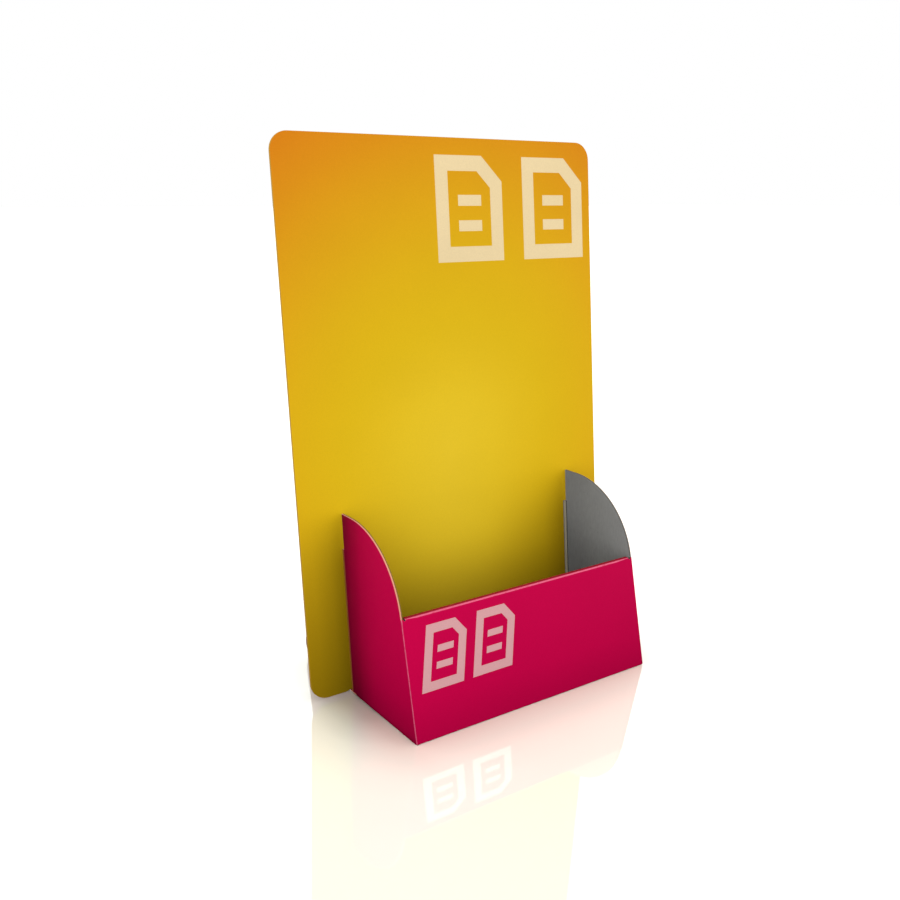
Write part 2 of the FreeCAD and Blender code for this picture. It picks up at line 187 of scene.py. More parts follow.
# What the two boards look like. Colours are screen values and grain sizes are in millimetres. A list of
# pairs gives a shade at each place, in millimetres up, across or from front to back.
finishLook = {
    "panelInk": [            # distance from the glow's centre, colour
        (0, (232, 196, 42)), (30, (230, 193, 36)), (50, (227, 188, 30)), (70, (224, 184, 24)),
        (90, (223, 180, 22)), (110, (223, 176, 22)), (130, (223, 169, 22)), (150, (222, 161, 22)),
        (165, (222, 154, 22)), (180, (221, 145, 22)), (195, (220, 137, 22)), (215, (217, 124, 20)),
    ],
    "glowCentre": (-6, 130),
    "glowBelow": 0.3,        # the glow's distance counts less below its centre
    "glowSlant": 0.13,       # and its upper part leans to the right
    # painted shade: the panel's ink darker towards its foot, by height
    "panelPaintedShade": [
        (2, 0.56), (14, 0.63), (32, 0.72), (47, 0.79), (62, 0.86), (77, 0.93), (92, 1.01), (107, 1.05),
        (127, 1.05), (152, 1.03), (176, 1.0), (202, 0.985), (251, 0.95), (292, 0.94),
    ],
    "panelShadeBeside": [         # painted shade from the middle out, on the lower part, where the pocket shades the panel
        (8, 1.1), (20, 1.08), (45, 0.98), (62, 0.93), (72, 0.78), (78, 0.66), (80, 0.64), (88, 0.85),
        (98, 0.98),
    ],
    "panelShadeBesideBelow": (70, 104),
    "panelMark": (233, 210, 163),
    # the panel's cut edge and bevel: ochre, darkened as painted shade along the printed face
    "panelRimAndShade": (196, 150, 58),
    "panelMottle": 0.02,     # how unevenly the ink lies
    "pocketInk": (200, 0, 70),
    "pocketMark": (225, 168, 170),
    # painted shade on the pocket: darker towards the ground, and on the sides towards the panel
    "pocketPaintedShade": [(0, 0.84), (5, 0.88), (20, 1.0), (60, 1.04)],
    # painted light: the pocket lighter on the left and darker on the right
    "pocketPaintedLightAcross": [(-80, 1.05), (0, 1.0), (80, 0.95)],
    "sideFrom": (79.0, 79.3),    # beyond this the print is on the two sides, which take more painted shade
    "sidePaintedShade": [(0, 0.48), (0.7, 0.56), (1.6, 0.7), (3, 0.83), (5, 0.87), (15, 0.93), (35, 1.0)],
    "sideShadeBehind": [
        (-48, 1.06), (-36, 1.04), (-26, 1.0), (-16, 0.93), (-8, 0.84), (-2, 0.68), (1, 0.64), (4, 0.57),
        (6, 0.5), (8, 0.43),
    ],
    "sideCornerShade": [(5, 0.76), (15, 0.81), (35, 0.92), (55, 0.96), (75, 1.03), (95, 1.06)],
    "sideCornerShadeReach": (-20, -5),
    "pocketHem": (160, 22, 42),
    "pocketEdge": (232, 160, 134),
    # the grey cut core, darker than the board as painted shade along the cut edges
    "pocketCoreShaded": (100, 99, 95),
    # the left side's inner cut edge: olive, as painted yellow bounce light and shade from the panel
    "pocketLipBounceShade": (132, 106, 46),
    "pocketCrease": (228, 100, 134),
    "pocketStrip": (196, 188, 164),
    # the worn strip outside beside the panel: orange-brown, darkened as painted shade
    "pocketScoreAndShade": (169, 103, 47),
    # the groove inside: darker grey as painted shade in the groove
    "pocketGrooveShade": (92, 90, 84),
    "otherMottle": 0.03,
    "creaseCrack": (0.30, 0.52),     # how much of the crease's pattern has lost its ink
    "creaseCrackSize": 0.8,
    "creaseStretch": 0.45,           # cracks run along the creases
    "creaseLeast": 0.45,             # the least share of the pale colour along a crease
    "bareBoard": (148, 149, 148),
    "flecks": [((0.68, 0.74), 0.35, (178, 174, 164)), ((0.30, 0.25), 0.4, (74, 72, 70))],
    # painted shade and light inside the pocket: darker low down and near the panel, lighter higher up
    "liningShadeUp": [(50, 1.04), (60, 1.06), (70, 1.21), (80, 1.27)],
    "liningShadeBehind": [(-36, 1.1), (-26, 1.06), (-16, 1.0), (-6, 0.9)],
    "inkGrain": 1.6,
    "speckGrain": 0.8,
    "inkClouds": 22,         # clouds per metre, and how strong they are beside the specks
    "inkClouding": 0.6,
    "boardClouds": 30,
    "cloudShade": (0.95, 1.05),
    "fibreGrain": 1.1,
    "fibreShade": (0.92, 1.08),
    "fibreStretch": 0.3,     # fibres run along the board's height
    "fleckGrain": 0.66,
    "tornGrain": 0.45,
    "tornShade": (0.86, 1.1),
    "varnish": (0.38, 0.47),         # roughness of the satin varnish
    "boardRoughness": (0.72, 0.84),
    "edgeRoughness": 0.85,
    "creaseRoughness": 0.7,
    "varnishShine": 0.03,
    "boardShine": 0.1,
    "edgeShine": 0.15,
    "varnishBump": (0.02, 0.35),     # depth in millimetres, strength
    "boardBump": (0.05, 0.5),
    "edgeBump": (0.06, 0.5),
    "creaseBump": (0.05, 0.5),
    "bounce": 0.15,
}


def finishVarnish(tree, shader, place, look):    # the satin film, with the board's fibres faint under it
    grain = addNoise(tree, place, 1 / (look["inkGrain"] * mm), 4)
    tree.links.new(vary(tree, grain, *look["varnish"]), shader.inputs["Roughness"])
    shader.inputs["Specular IOR Level"].default_value = look["varnishShine"]
    addBump(tree, shader, grain, *look["varnishBump"])


def inkMottle(tree, place, look, colour, amount):    # ink lies a little unevenly on the stock
    cloud = addNoise(tree, place, look["inkClouds"], 2)
    speck = addNoise(tree, place, 1 / (look["speckGrain"] * mm), 2)
    clouding = amount * look["inkClouding"]
    colour = shadeBy(tree, colour, vary(tree, cloud, 1 - clouding, 1 + clouding))
    return shadeBy(tree, colour, vary(tree, speck, 1 - amount, 1 + amount))


def finishPrint(tree, shader, place, look, colour, mottle):
    linkColour(tree, shader, inkMottle(tree, place, look, colour, mottle), look["bounce"])
    finishVarnish(tree, shader, place, look)


def panelInkFinish(look):    # a printed glow about a centre, with painted shade downwards and beside the pocket
    finish, tree, shader, place = newFinish("panelInk")
    reach, centre = look["panelInk"][-1][0], look["glowCentre"]
    scale = (1 / (reach * mm), 0, 1 / (reach * mm))
    outward = splitPlace(tree, stretchPlace(tree, place, scale, (centre[0] * mm, 0, centre[1] * mm)))
    lowered = joinValues(tree, "MULTIPLY", outward["Z"], look["glowBelow"])
    rise = joinValues(tree, "MAXIMUM", outward["Z"], lowered)
    slanted = joinValues(tree, "MULTIPLY", rise, look["glowSlant"])
    joined = tree.nodes.new("ShaderNodeCombineXYZ")
    tree.links.new(joinValues(tree, "SUBTRACT", outward["X"], slanted), joined.inputs["X"])
    tree.links.new(rise, joined.inputs["Z"])
    glow, ramp = tree.nodes.new("ShaderNodeTexGradient"), tree.nodes.new("ShaderNodeValToRGB")
    glow.gradient_type = "SPHERICAL"
    tree.links.new(joined.outputs["Vector"], glow.inputs["Vector"])
    tree.links.new(glow.outputs["Fac"], ramp.inputs["Fac"])
    stops = ramp.color_ramp.elements
    while len(stops) < len(look["panelInk"]):
        stops.new(0.5)
    for stop, (distance, colour) in zip(stops, reversed(look["panelInk"])):
        stop.position = 1 - distance / reach
        stop.color = screenColour(*colour)
    where = splitPlace(tree, place)
    # painted shade by height, and on the lower part beside the pocket
    colour = shadeBy(tree, ramp.outputs["Color"], rampAlong(tree, where["Z"], look["panelPaintedShade"]))
    fromMiddle = joinValues(tree, "ABSOLUTE", where["X"])
    beside = shadeBy(tree, colour, rampAlong(tree, fromMiddle, look["panelShadeBeside"]))
    isLow = reachAlong(tree, where["Z"], look["panelShadeBesideBelow"], 1, 0, smooth=True)
    finishPrint(tree, shader, place, look, mixColour(tree, isLow, colour, beside), look["panelMottle"])
    return finish


def plainInkFinish(name, look):
    finish, tree, shader, place = newFinish(name)
    finishPrint(tree, shader, place, look, screenColour(*look[name]), look["otherMottle"])
    return finish


def pocketInkFinish(look):    # painted shade towards the ground and on the sides towards the panel, and painted light lighter on the left
    finish, tree, shader, place = newFinish("pocketInk")
    where = splitPlace(tree, place)
    ink = screenColour(*look["pocketInk"])
    # painted shade and painted light on the pocket's ink
    colour = shadeBy(tree, ink, rampAlong(tree, where["Z"], look["pocketPaintedShade"]))
    colour = shadeBy(tree, colour, rampAlong(tree, where["X"], look["pocketPaintedLightAcross"]))
    paintedShade = rampAlong(tree, where["Z"], look["sidePaintedShade"])
    side = joinValues(tree, "MULTIPLY", paintedShade, rampAlong(tree, where["Y"], look["sideShadeBehind"]))
    nearPanel = reachAlong(tree, where["Y"], look["sideCornerShadeReach"])
    corner = joinValues(tree, "SUBTRACT", rampAlong(tree, where["Z"], look["sideCornerShade"]), 1)
    corner = joinValues(tree, "ADD", joinValues(tree, "MULTIPLY", corner, nearPanel), 1)
    side = joinValues(tree, "MULTIPLY", side, corner)
    onSide = reachAlong(tree, joinValues(tree, "ABSOLUTE", where["X"]), look["sideFrom"])
    colour = mixColour(tree, onSide, colour, shadeBy(tree, colour, side))
    finishPrint(tree, shader, place, look, colour, look["otherMottle"])
    return finish


def bareBoardFinish(name, look, shades=()):    # unprinted grey stock: pulp clouds, pale and dark fibres; shades adds painted shade along an axis
    finish, tree, shader, place = newFinish(name)
    fibrePlace = stretchPlace(tree, place, (1, 1, look["fibreStretch"]))
    cloud = addNoise(tree, place, look["boardClouds"], 3)
    fibre = addNoise(tree, fibrePlace, 1 / (look["fibreGrain"] * mm), 5, 0.65)
    fleck = addNoise(tree, fibrePlace, 1 / (look["fleckGrain"] * mm), 2)
    colour = shadeBy(tree, screenColour(*look["bareBoard"]), vary(tree, cloud, *look["cloudShade"]))
    colour = shadeBy(tree, colour, vary(tree, fibre, *look["fibreShade"]))
    for span, most, fleckColour in look["flecks"]:
        colour = mixColour(tree, remap(tree, fleck, *span, 0, most), colour, screenColour(*fleckColour))
    for axis, stops in shades:
        colour = shadeBy(tree, colour, rampAlong(tree, splitPlace(tree, place)[axis], stops))
    linkColour(tree, shader, colour, look["bounce"])
    tree.links.new(vary(tree, fibre, *look["boardRoughness"]), shader.inputs["Roughness"])
    shader.inputs["Specular IOR Level"].default_value = look["boardShine"]
    addBump(tree, shader, fibre, *look["boardBump"])
    return finish


def finishEdge(tree, shader, look, colour, roughness, height, bump):
    tree.links.new(colour, shader.inputs["Base Color"])
    shader.inputs["Roughness"].default_value = roughness
    shader.inputs["Specular IOR Level"].default_value = look["edgeShine"]
    addBump(tree, shader, height, *bump)


def cutEdgeFinish(name, look):    # a die-cut edge, its fibres torn
    finish, tree, shader, place = newFinish(name)
    torn = addNoise(tree, place, 1 / (look["tornGrain"] * mm), 4, 0.6)
    colour = shadeBy(tree, screenColour(*look[name]), vary(tree, torn, *look["tornShade"]))
    finishEdge(tree, shader, look, colour, look["edgeRoughness"], torn, look["edgeBump"])
    return finish


def creaseFinish(look):    # the ink cracks along a crease and the pale stock shows through
    finish, tree, shader, place = newFinish("pocketCrease")
    along = stretchPlace(tree, place, (look["creaseStretch"], 1, look["creaseStretch"]))
    crack = addNoise(tree, along, 1 / (look["creaseCrackSize"] * mm), 4, 0.6)
    worn = remap(tree, crack, *look["creaseCrack"], look["creaseLeast"], 1.0, smooth=True)
    colour = mixColour(tree, worn, screenColour(*look["pocketInk"]), screenColour(*look["pocketCrease"]))
    finishEdge(tree, shader, look, colour, look["creaseRoughness"], crack, look["creaseBump"])
    return finish


# the lining takes painted shade by height and by distance from the panel
liningPaintedShades = [("Z", finishLook["liningShadeUp"]), ("Y", finishLook["liningShadeBehind"])]
bareBoard = bareBoardFinish("bareBoard", finishLook)
liningBoard = bareBoardFinish("liningBoard", finishLook, liningPaintedShades)
panelInk = panelInkFinish(finishLook)
panelMark = plainInkFinish("panelMark", finishLook)
panelRimAndShade = cutEdgeFinish("panelRimAndShade", finishLook)
pocketInk = pocketInkFinish(finishLook)
pocketHem = plainInkFinish("pocketHem", finishLook)
pocketMark = plainInkFinish("pocketMark", finishLook)
pocketEdge = cutEdgeFinish("pocketEdge", finishLook)
pocketCoreShaded = cutEdgeFinish("pocketCoreShaded", finishLook)
pocketLipBounceShade = cutEdgeFinish("pocketLipBounceShade", finishLook)
pocketStrip = cutEdgeFinish("pocketStrip", finishLook)
pocketScoreAndShade = cutEdgeFinish("pocketScoreAndShade", finishLook)
pocketGrooveShade = cutEdgeFinish("pocketGrooveShade", finishLook)
pocketCrease = creaseFinish(finishLook)
print("finishes made")


# Drawing and folding a board

crispFrom = 28               # degrees; an edge that turns by this or more stays crisp


def drawLine(bm, start, moves):    # a move is a point, or a turn: centre, axis, degrees, steps
    corner = bm.verts.new(start)
    corners = [corner]
    for move in moves:
        if len(move) == 4:
            centre, axis, angle, steps = move
            before = len(bm.verts)
            bmesh.ops.spin(bm, geom=[corner], cent=centre, axis=axis, dvec=(0, 0, 0), angle=radians(angle),
                           steps=steps, use_merge=False, use_normal_flip=False, use_duplicate=False)
            bm.verts.ensure_lookup_table()
            corners += [bm.verts[index] for index in range(before, len(bm.verts))]
            corner = corners[-1]
        else:
            following = bm.verts.new(move)
            bm.edges.new((corner, following))
            corner = following
            corners.append(corner)
    return corners


def closeLine(bm, corners):
    return bm.edges.get((corners[-1], corners[0])) or bm.edges.new((corners[-1], corners[0]))


def isBetween(face, first, last, direction):
    middle = face.calc_center_median()
    return (middle - first).dot(direction) > 0 > (middle - last).dot(direction)


def cutFace(bm, faces, point, normal):    # cuts flat faces along a plane and gives the faces back
    parts = set(faces)
    for face in faces:
        parts.update(face.edges, face.verts)
    result = bmesh.ops.bisect_plane(bm, geom=list(parts), dist=2 * touching, plane_co=point, plane_no=normal)
    return [item for item in result["geom"] if isinstance(item, bmesh.types.BMFace)]


# The print is a sheet's outline with one corner cut off. place(u, v) gives a point of the board.

def sheetMarkLine(bm, place, left, low, look):
    width, height, corner, slant = look["width"], look["height"], look["corner"], tan(radians(look["slant"]))
    points = [(0, 0), (width, 0), (width, height - corner), (width - corner, height), (0, height)]
    corners = drawLine(bm, place(left, low), [place(left + u + v * slant, low + v) for u, v in points[1:]])
    closeLine(bm, corners)
    return corners


def printSheetMark(bm, corners, place, left, low, look, slots):    # a ring round the sheet, and its bars
    face = bm.faces.new(corners)
    face.normal_update()
    ring = bmesh.ops.inset_region(bm, faces=[face], thickness=look["stroke"] * mm, use_even_offset=True)
    for part in ring["faces"]:
        part.material_index = slots["mark"]
    face.material_index = slots["ink"]
    up = (place(0, 1) - place(0, 0)).normalized()
    across = (place(1, 0) - place(0, 0)).normalized()
    slanted = (place(tan(radians(look["slant"])), 1) - place(0, 0)).normalized()
    sideways = up.cross(across).cross(slanted).normalized()    # in the board's plane, square to the slant
    strips = [face]
    for bottom, top, end in look["bars"]:
        lower, upper = place(left, low + bottom), place(left, low + top)
        for point in (lower, upper):
            strips = cutFace(bm, strips, point, up)
        inBar = [part for part in strips if isBetween(part, lower, upper, up)]
        rest = [part for part in strips if part not in inBar]
        start, stop = place(left + look["barInset"], low), place(left + end, low)
        for point in (start, stop):
            inBar = cutFace(bm, inBar, point, sideways)
        for part in inBar:
            if isBetween(part, start, stop, sideways):
                part.material_index = slots["mark"]
        strips = rest


def fillSheet(bm, edges, normal):
    bmesh.ops.triangle_fill(bm, use_beauty=True, use_dissolve=False, edges=edges, normal=normal)


def makeBoard(name, bm, thickness, inks, back, rim, others=()):    # gives a printed surface its board
    mesh = bpy.data.meshes.new(name)
    bm.to_mesh(mesh)
    bm.free()
    piece = bpy.data.objects.new(name, mesh)
    bpy.context.scene.collection.objects.link(piece)
    for finish in inks * 3:    # printed face, back and rim
        mesh.materials.append(finish)
    board = piece.modifiers.new("board", "SOLIDIFY")
    board.solidify_mode = "NON_MANIFOLD"
    board.nonmanifold_thickness_mode = "CONSTRAINTS"
    board.nonmanifold_merge_threshold = touching / 10
    board.thickness = thickness * mm
    board.offset = -1
    board.material_offset = len(inks)
    board.material_offset_rim = len(inks) * 2
    solid = bpy.data.meshes.new_from_object(piece.evaluated_get(bpy.context.evaluated_depsgraph_get()))
    piece.modifiers.clear()
    bm = bmesh.new()
    bm.from_mesh(solid)
    bpy.data.meshes.remove(solid)
    for face in bm.faces:
        if face.material_index >= len(inks):
            face.material_index = len(inks) + face.material_index // len(inks) - 1
    mesh.materials.clear()
    for finish in [*inks, back, rim, *others]:
        mesh.materials.append(finish)
    return piece, bm


def finishPiece(piece, bm, node, rounded):    # writes the mesh back and hands the piece to the frame
    for face in bm.faces:
        face.smooth = face in rounded
    for edge in bm.edges:
        if len(edge.link_faces) == 2:
            edge.smooth = edge.calc_face_angle() < radians(crispFrom)
    bm.to_mesh(piece.data)
    bm.free()
    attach(piece, "root")
    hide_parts(node)


def facesMeet(edge, first, second):    # between a face of one of the first finishes and one of the second
    finishes = {face.material_index for face in edge.link_faces}
    return len(edge.link_faces) == 2 and any(finishes == {slot, second} for slot in first)


def bevelEdges(bm, edges, offset, segments):
    bevel = bmesh.ops.bevel(bm, geom=edges, offset=offset * mm, offset_type="OFFSET", segments=segments,
                            profile=0.5, affect="EDGES", material=-1, clamp_overlap=True)
    return bevel["faces"]


# Back panel

panelLook = {
    "width": 210,
    "height": 301.4,
    "board": 1.3,
    "cornerRadius": 10,
    "cornerSteps": 12,
    "lean": 4.8,
    "foot": (0, 4.4, 1.9),       # front lower edge, at the middle
    "slotOuter": 80.2,
    "slotInner": 78.0,
    "slotTop": 82.2,
    "leadWidth": 4,
    "leadRise": 1,
    "rimWidth": 0.45,            # the ochre line round the printed face: cut edge colour, also darkened as painted shade along the bevel
    "rimSteps": 2,
    "marks": [(-8, 233.5), (53, 233.5)],
    "mark": {
        "width": 46, "height": 58.5, "corner": 14, "stroke": 8.5, "slant": 0, "barInset": 15,
        "bars": [(17, 23, 31), (31, 37, 31)],    # bottom, top and right-hand end
    },
}
panelSlots = {"ink": 0, "mark": 1, "rim": 3}    # places in the piece's list of finishes


def buildPanel(look):
    bm = bmesh.new()
    half, high, turn, steps = look["width"] / 2, look["height"], look["cornerRadius"], look["cornerSteps"]
    outer, inner, top = look["slotOuter"], look["slotInner"], look["slotTop"]

    def place(across, up):
        return Vector((across, 0, up)) * mm

    # Half the outline, from the middle of the lower edge to the middle of the top, then its mirror image
    drawLine(bm, place(0, 0), [
        place(inner - look["leadWidth"], 0), place(inner, look["leadRise"]), place(inner, top),
        place(outer, top), place(outer, look["leadRise"]), place(outer + look["leadWidth"], 0),
        place(half - turn, 0), (place(half - turn, turn), (0, 1, 0), -90, steps),
        place(half, high - turn), (place(half - turn, high - turn), (0, 1, 0), -90, steps), place(0, high),
    ])
    bmesh.ops.mirror(bm, geom=bm.verts[:] + bm.edges[:], axis="X", merge_dist=touching)
    bmesh.ops.remove_doubles(bm, verts=bm.verts[:], dist=touching)
    marks = [(sheetMarkLine(bm, place, left, low, look["mark"]), left, low) for left, low in look["marks"]]
    fillSheet(bm, bm.edges[:], (0, -1, 0))
    for corners, left, low in marks:
        printSheetMark(bm, corners, place, left, low, look["mark"], panelSlots)
    bmesh.ops.recalc_face_normals(bm, faces=bm.faces[:])
    if sum(face.normal.y * face.calc_area() for face in bm.faces) > 0:
        bmesh.ops.reverse_faces(bm, faces=bm.faces[:])
    return bm


def finishPanel(look):
    inks, printed, rim = [panelInk, panelMark], (panelSlots["ink"], panelSlots["mark"]), panelSlots["rim"]
    piece, bm = makeBoard("panelBoard", buildPanel(look), look["board"], inks, bareBoard, panelRimAndShade)
    printedEdges = [edge for edge in bm.edges if facesMeet(edge, printed, rim)]
    for face in bevelEdges(bm, printedEdges, look["rimWidth"], look["rimSteps"]):
        face.material_index = rim
    lean = Matrix.Rotation(-radians(look["lean"]), 3, "X")
    bmesh.ops.rotate(bm, verts=bm.verts, cent=(0, 0, 0), matrix=lean)
    bmesh.ops.translate(bm, verts=bm.verts, vec=Vector(look["foot"]) * mm)
    rounded = {face for face in bm.faces if face.material_index == rim}
    finishPiece(piece, bm, "back_panel", rounded)
    return piece


panelBoard = finishPanel(panelLook)
print("back panel made")


# Pocket: front wall with a turned-over strip, lining and floor, and the two sides

pocketLook = {
    "width": 159.6,
    "board": 1.3,
    "frontEdge": -62.4,      # front fold at the ground
    "rearEdge": 62.4,
    "frontHeight": 63.6,
    "wallLean": 12.25,
    "hemWidth": 3.6,
    "hemInset": 2.5,
    "reliefWidth": 1.1,      # notch at each end of the crease
    "reliefDepth": 0.8,
    "earTop": 103.8,
    "earRadius": 50.5,
    "earSteps": 28,
    "earSetback": 0.55,
    "earGap": 1.6,
    "finPlay": 0.2,
    "finTop": 96,
    "finShoulder": 62,
    "finSteps": 16,
    "footRadius": 9,
    "footSteps": 12,
    "soleFrom": 1.6,         # the sides' lower edges start this far behind the front fold
    "floorBeyond": 1,
    "tabLength": 6.8,
    "tabPlay": 0.3,
    "crossing": 82.2,        # where the boards cross, along the panel
    "foldRadius": 0.5,
    "foldSteps": 7,
    "foldCrack": 0.55,       # width of the pale line along a fold
    "hemRadius": 0.8,
    "hemSteps": 5,
    "hemCrack": 0.95,
    "edgeWear": 0.12,        # pale worn line along the printed side of a cut edge
    "wornAbove": 2,
    "rimsBeyond": 78.1,      # the sides' cut edges lie beyond this
    "drawnOver": [(-79.1, "lip"), (79.6, "core")],    # ink reaches in to here over them; finish within: olive painted bounce and shade on the left, grey core on the right
    "leftSpread": 0.62,      # the left side opens out towards the panel, and its lower edge lifts
    "leftLift": 0.8,
    "leftFrom": -78,
    "rightSpread": 0.55,     # the right side opens out at its upper front corner
    "rightReach": (40, 78),
    "spreadReach": 57,
    "seated": 0.25,          # the pocket sits a little to the right in the panel's slots
    "scoreOutside": (1.6, 0.45, 0.4),    # line scored down each side: from the panel's face, width, depth
    "scoreInside": (2.1, 0.9, 0.6),
    "scoreBeyond": 0.3,      # the worn strip beside it runs this far past the panel's face; outside its colour is also darkened as painted shade
    "scoreTaper": 1,
    "marks": [(-73, 25), (-41, 25)],
    "mark": {
        "width": 26, "height": 34.2, "corner": 8, "stroke": 4.8, "slant": 12, "barInset": 8,
        "bars": [(10.5, 14, 18), (19, 22.5, 18)],
    },
}
pocketSlots = {
    "ink": 0, "mark": 1, "core": 3, "edge": 4, "crease": 5, "hem": 6, "strip": 7, "score": 8, "groove": 9,
    "lip": 10,
}


def frontPlace(look):    # a point on the front wall's printed face, from across and up its slope
    lean = radians(look["wallLean"])
    return lambda across, up: Vector((across, look["frontEdge"] + up * sin(lean), up * cos(lean))) * mm


def panelWays(panel):    # up the panel, and square to it away from its printed face
    back = radians(panel["lean"])
    return Vector((0, sin(back), cos(back))), Vector((0, cos(back), -sin(back)))


def floorEndOf(look, panel):    # where the floor flap ends, behind the panel
    return panel["foot"][1] + look["board"] / cos(radians(panel["lean"])) + look["floorBeyond"]


def sideLine(bm, look, panel):    # the left-hand side, as in the drawing of the part
    lean, slope = radians(look["wallLean"]), tan(radians(look["wallLean"]))
    board, front, setback = look["board"], look["frontEdge"], look["earSetback"]
    earHeight = look["earTop"] - look["earRadius"]
    earMiddle = front + (look["earRadius"] + setback + earHeight * sin(lean)) / cos(lean)
    up, away = panelWays(panel)
    crossing = Vector(panel["foot"]) + up * look["crossing"]
    slotFront = crossing - away * look["earGap"]
    slotBack = crossing + away * (board + look["finPlay"])
    earRear = slotFront + up * ((look["earTop"] - slotFront.z) / up.z)
    finFront = slotBack + up * ((look["finTop"] - slotBack.z) / up.z)
    footRadius = look["footRadius"]
    footMiddle = look["rearEdge"] - footRadius
    footEnd = Vector((0, footMiddle + footRadius * cos(lean), footRadius * (1 + sin(lean))))
    finEnd = Vector((0, footEnd.y - (look["finShoulder"] - footEnd.z) * slope, look["finShoulder"]))
    chord, inward = finFront - finEnd, Vector((0, -cos(lean), -sin(lean)))
    finRadius = chord.length_squared / (2 * chord.dot(inward))
    finMiddle = finEnd + inward * finRadius
    finTurn = atan2(finFront.z - finMiddle.z, finFront.y - finMiddle.y) - lean
    floorEnd, play, tab = floorEndOf(look, panel), look["tabPlay"], look["tabLength"]
    low = board * sin(lean)    # the front's cut lower edge is square to its face, so the print starts here
    frontTop = front + look["frontHeight"] * slope
    x = -look["width"] / 2

    def place(y, z):
        return Vector((x, y, z)) * mm

    def turn(y, z, angle, steps):
        return place(y, z), (1, 0, 0), angle, steps

    return drawLine(bm, place(front + low * slope, low), [
        place(frontTop, look["frontHeight"]),
        place(frontTop + setback / cos(lean), look["frontHeight"]),
        place(earMiddle - look["earRadius"] * cos(lean), earHeight + look["earRadius"] * sin(lean)),
        turn(earMiddle, earHeight, look["wallLean"] - 90, look["earSteps"]),
        place(earRear.y, earRear.z), place(slotFront.y, slotFront.z), place(slotBack.y, slotBack.z),
        place(finFront.y, finFront.z),
        turn(finMiddle.y, finMiddle.z, -degrees(finTurn), look["finSteps"]),
        place(footEnd.y, footEnd.z),
        turn(footMiddle, footRadius, -90 - look["wallLean"], look["footSteps"]),
        place(floorEnd + play, 0), place(floorEnd + play, board + play),
        place(floorEnd - tab - play, board + play), place(floorEnd - tab - play, 0),
        place(front + look["soleFrom"], 0),
    ])


def extrudeEdge(bm, edge, step):    # gives the new far edge and the new face
    made = bmesh.ops.extrude_edge_only(bm, edges=[edge])["geom"]
    moved = [item for item in made if isinstance(item, bmesh.types.BMVert)]
    bmesh.ops.translate(bm, verts=moved, vec=Vector(step) * mm)
    edges = [item for item in made if isinstance(item, bmesh.types.BMEdge)]
    farEdge = next(item for item in edges if all(vert in moved for vert in item.verts))
    return farEdge, next(item for item in made if isinstance(item, bmesh.types.BMFace))


def buildPocket(look, panel):
    bm = bmesh.new()
    corners = sideLine(bm, look, panel)
    closeLine(bm, corners)
    side = bm.faces.new(corners)
    low, high = corners[0], corners[1]
    bmesh.ops.mirror(bm, geom=bm.verts[:] + bm.edges[:] + [side], axis="X", merge_dist=touching)
    bm.verts.ensure_lookup_table()

    def opposite(corner):
        target = Vector((-corner.co.x, corner.co.y, corner.co.z))
        return min(bm.verts, key=lambda vert: (vert.co - target).length)

    lowRight, highRight = opposite(low), opposite(high)
    place, lean = frontPlace(look), radians(look["wallLean"])
    end, slit = look["width"] / 2 - look["hemInset"], look["reliefWidth"]
    top = look["frontHeight"] / cos(lean)
    notch = top - look["reliefDepth"]
    upper = [
        (end + slit, top), (end + slit, notch), (end, notch), (end, top),
        (-end, top), (-end, notch), (-end - slit, notch), (-end - slit, top),
    ]
    path = [high, low, lowRight, highRight] + [bm.verts.new(place(*point)) for point in upper]
    outline = [bm.edges.get(pair) or bm.edges.new(pair) for pair in zip(path, path[1:] + path[:1])]
    crease = bm.edges.get((path[7], path[8]))
    marks = [(sheetMarkLine(bm, place, left, low, look["mark"]), left, low) for left, low in look["marks"]]
    markEdges = {edge for markCorners, _, _ in marks for vert in markCorners for edge in vert.link_edges}
    fillSheet(bm, list(set(outline) | markEdges), (0, -cos(lean), sin(lean)))
    for markCorners, left, low in marks:
        printSheetMark(bm, markCorners, place, left, low, look["mark"], pocketSlots)

    # The strip over the top, the lining and the floor are one run of folds from the crease
    drop = look["frontHeight"] - look["board"]
    liningFoot = look["frontEdge"] + look["hemWidth"] + look["board"] * tan(lean)
    floorDepth = floorEndOf(look, panel) - look["tabLength"] - liningFoot
    edge = crease
    for step in [(0, look["hemWidth"], 0), (0, -drop * tan(lean), -drop), (0, floorDepth, 0),
                 (0, look["tabLength"], 0)]:
        edge, flap = extrudeEdge(bm, edge, step)
    for item in [item for item in flap.edges if abs(item.verts[0].co.x - item.verts[1].co.x) < touching]:
        outward = copysign(look["hemInset"], item.verts[0].co.x)
        extrudeEdge(bm, item, (outward, 0, 0))
    bmesh.ops.recalc_face_normals(bm, faces=bm.faces[:])
    markFaces = [face for face in bm.faces if face.material_index == pocketSlots["mark"]]
    if sum(face.normal.y * face.calc_area() for face in markFaces) > 0:    # the print faces the front
        bmesh.ops.reverse_faces(bm, faces=bm.faces[:])
    return bm


